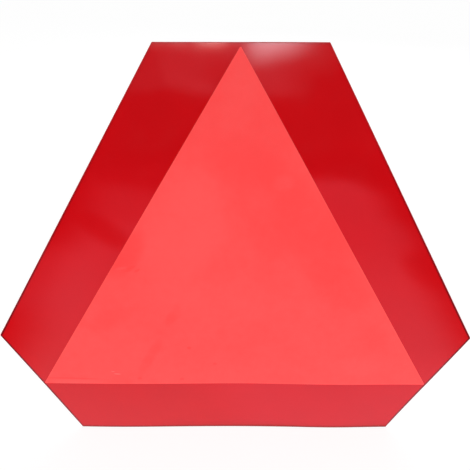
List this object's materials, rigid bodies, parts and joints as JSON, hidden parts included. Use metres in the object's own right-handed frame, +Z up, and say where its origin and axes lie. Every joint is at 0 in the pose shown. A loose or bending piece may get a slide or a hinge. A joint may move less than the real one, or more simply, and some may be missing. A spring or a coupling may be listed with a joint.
{
  "type": "slow moving vehicle sign",
  "caption": "Flat sign for a slow vehicle: a triangle with its points cut off, with a glossy red reflective border round a matt fluorescent triangle, on a thin dark flexible backing.",
  "frame": {"origin": "on the flat back face, at the centre of the triangle, where the three long edges are equally far away", "axes": "+Z up, towards the short top edge; +X along the long bottom edge, to the right as the front is seen; -Y out of the front; +Y out of the back face"},
  "size_m": [0.4104, 0.0012, 0.3556],
  "materials": {
    "dark_backing": "matte",
    "red_reflective": "gloss",
    "fluorescent_film": "matte"
  },
  "bodies": {
    "root": {"backing_sheet": "dark_backing", "red_reflective_sheet": "red_reflective", "fluorescent_triangle": "fluorescent_film"}
  },
  "joints": []
}
